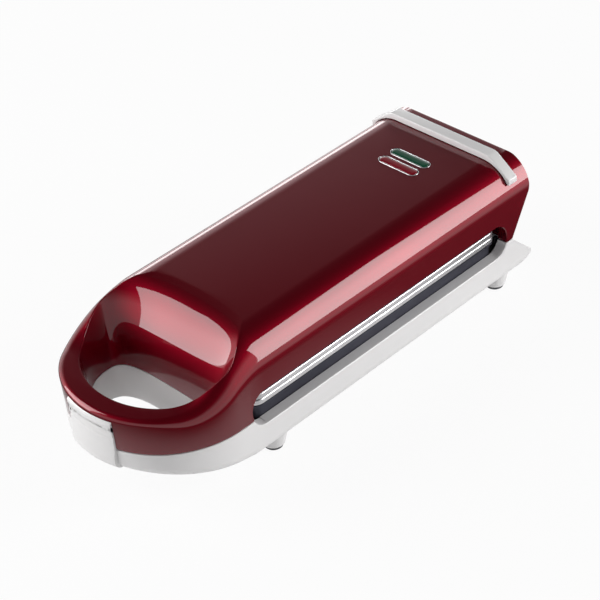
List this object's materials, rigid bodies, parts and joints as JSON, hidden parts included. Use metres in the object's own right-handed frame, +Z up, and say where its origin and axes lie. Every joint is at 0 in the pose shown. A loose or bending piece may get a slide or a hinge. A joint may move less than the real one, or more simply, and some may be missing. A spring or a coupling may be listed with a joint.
{
  "type": "electric churros maker",
  "caption": "Hinged pair of heated fluted moulds for baking churros, in a glossy lid and a pale base with a ring handle, a sprung front latch, indicator lenses and padded feet.",
  "frame": {"origin": "centre of the bounding box at the underside of the foot pads", "axes": "+X to the right seen from the ring handle, +Y from the ring handle back to the hinge, +Z up"},
  "size_m": [0.124, 0.3326, 0.098],
  "materials": {
    "pale_plastic": "smooth moulded plastic",
    "red_lacquer": "metallic red lacquer on moulded plastic",
    "cast_plate": "cast aluminium with a non-stick coat in the moulds",
    "dark_sheet": "heat-darkened pressed sheet",
    "steel": "plated",
    "heater_sheath": "dull sheath",
    "soft_rubber": "matte",
    "ceramic": "matte insulator",
    "green_lens": "clear tinted plastic",
    "red_lens": "clear tinted plastic",
    "lamp_glass": "clear"
  },
  "bodies": {
    "base": {"base_shell": "pale_plastic", "lower_plate": "cast_plate", "lower_reflector": "dark_sheet", "lower_element": "heater_sheath", "lower_thermostat": "ceramic", "thermal_fuse": "ceramic", "lower_screw_front_left": "steel", "lower_screw_front_right": "steel", "lower_screw_rear_left": "steel", "lower_screw_rear_right": "steel", "hinge_pin_left": "steel", "hinge_pin_right": "steel", "terminal_block": "ceramic", "cord_gland": "soft_rubber", "foot_pad_front_left": "soft_rubber", "foot_pad_front_right": "soft_rubber", "foot_pad_rear_left": "soft_rubber", "foot_pad_rear_right": "soft_rubber"},
    "lid": {"lid_shell": "red_lacquer", "upper_plate": "cast_plate", "upper_reflector": "dark_sheet", "upper_element": "heater_sheath", "upper_thermostat": "ceramic", "upper_screw_front_left": "steel", "upper_screw_front_right": "steel", "upper_screw_rear_left": "steel", "upper_screw_rear_right": "steel", "latch_pin": "steel", "latch_spring": "steel", "rear_bar": "pale_plastic", "bar_screw_left": "steel", "bar_screw_right": "steel", "ready_lens": "green_lens", "power_lens": "red_lens", "lamp_holder": "ceramic", "ready_lamp": "lamp_glass", "power_lamp": "lamp_glass"},
    "latch": {"latch": "pale_plastic"}
  },
  "joints": [
    {"name": "lid_hinge", "type": "hinge", "parent": "base", "child": "lid", "pos_m": [0, 0.1468, 0.041], "axis": [-1, 0, 0], "range_deg": [0, 95]},
    {"name": "latch_hinge", "type": "hinge", "parent": "lid", "child": "latch", "pos_m": [0, -0.1597, 0.0595], "axis": [-1, 0, 0], "range_deg": [0, 25], "stiffness_Nm_per_rad": 0.12, "springref_deg": -20.05}
  ]
}
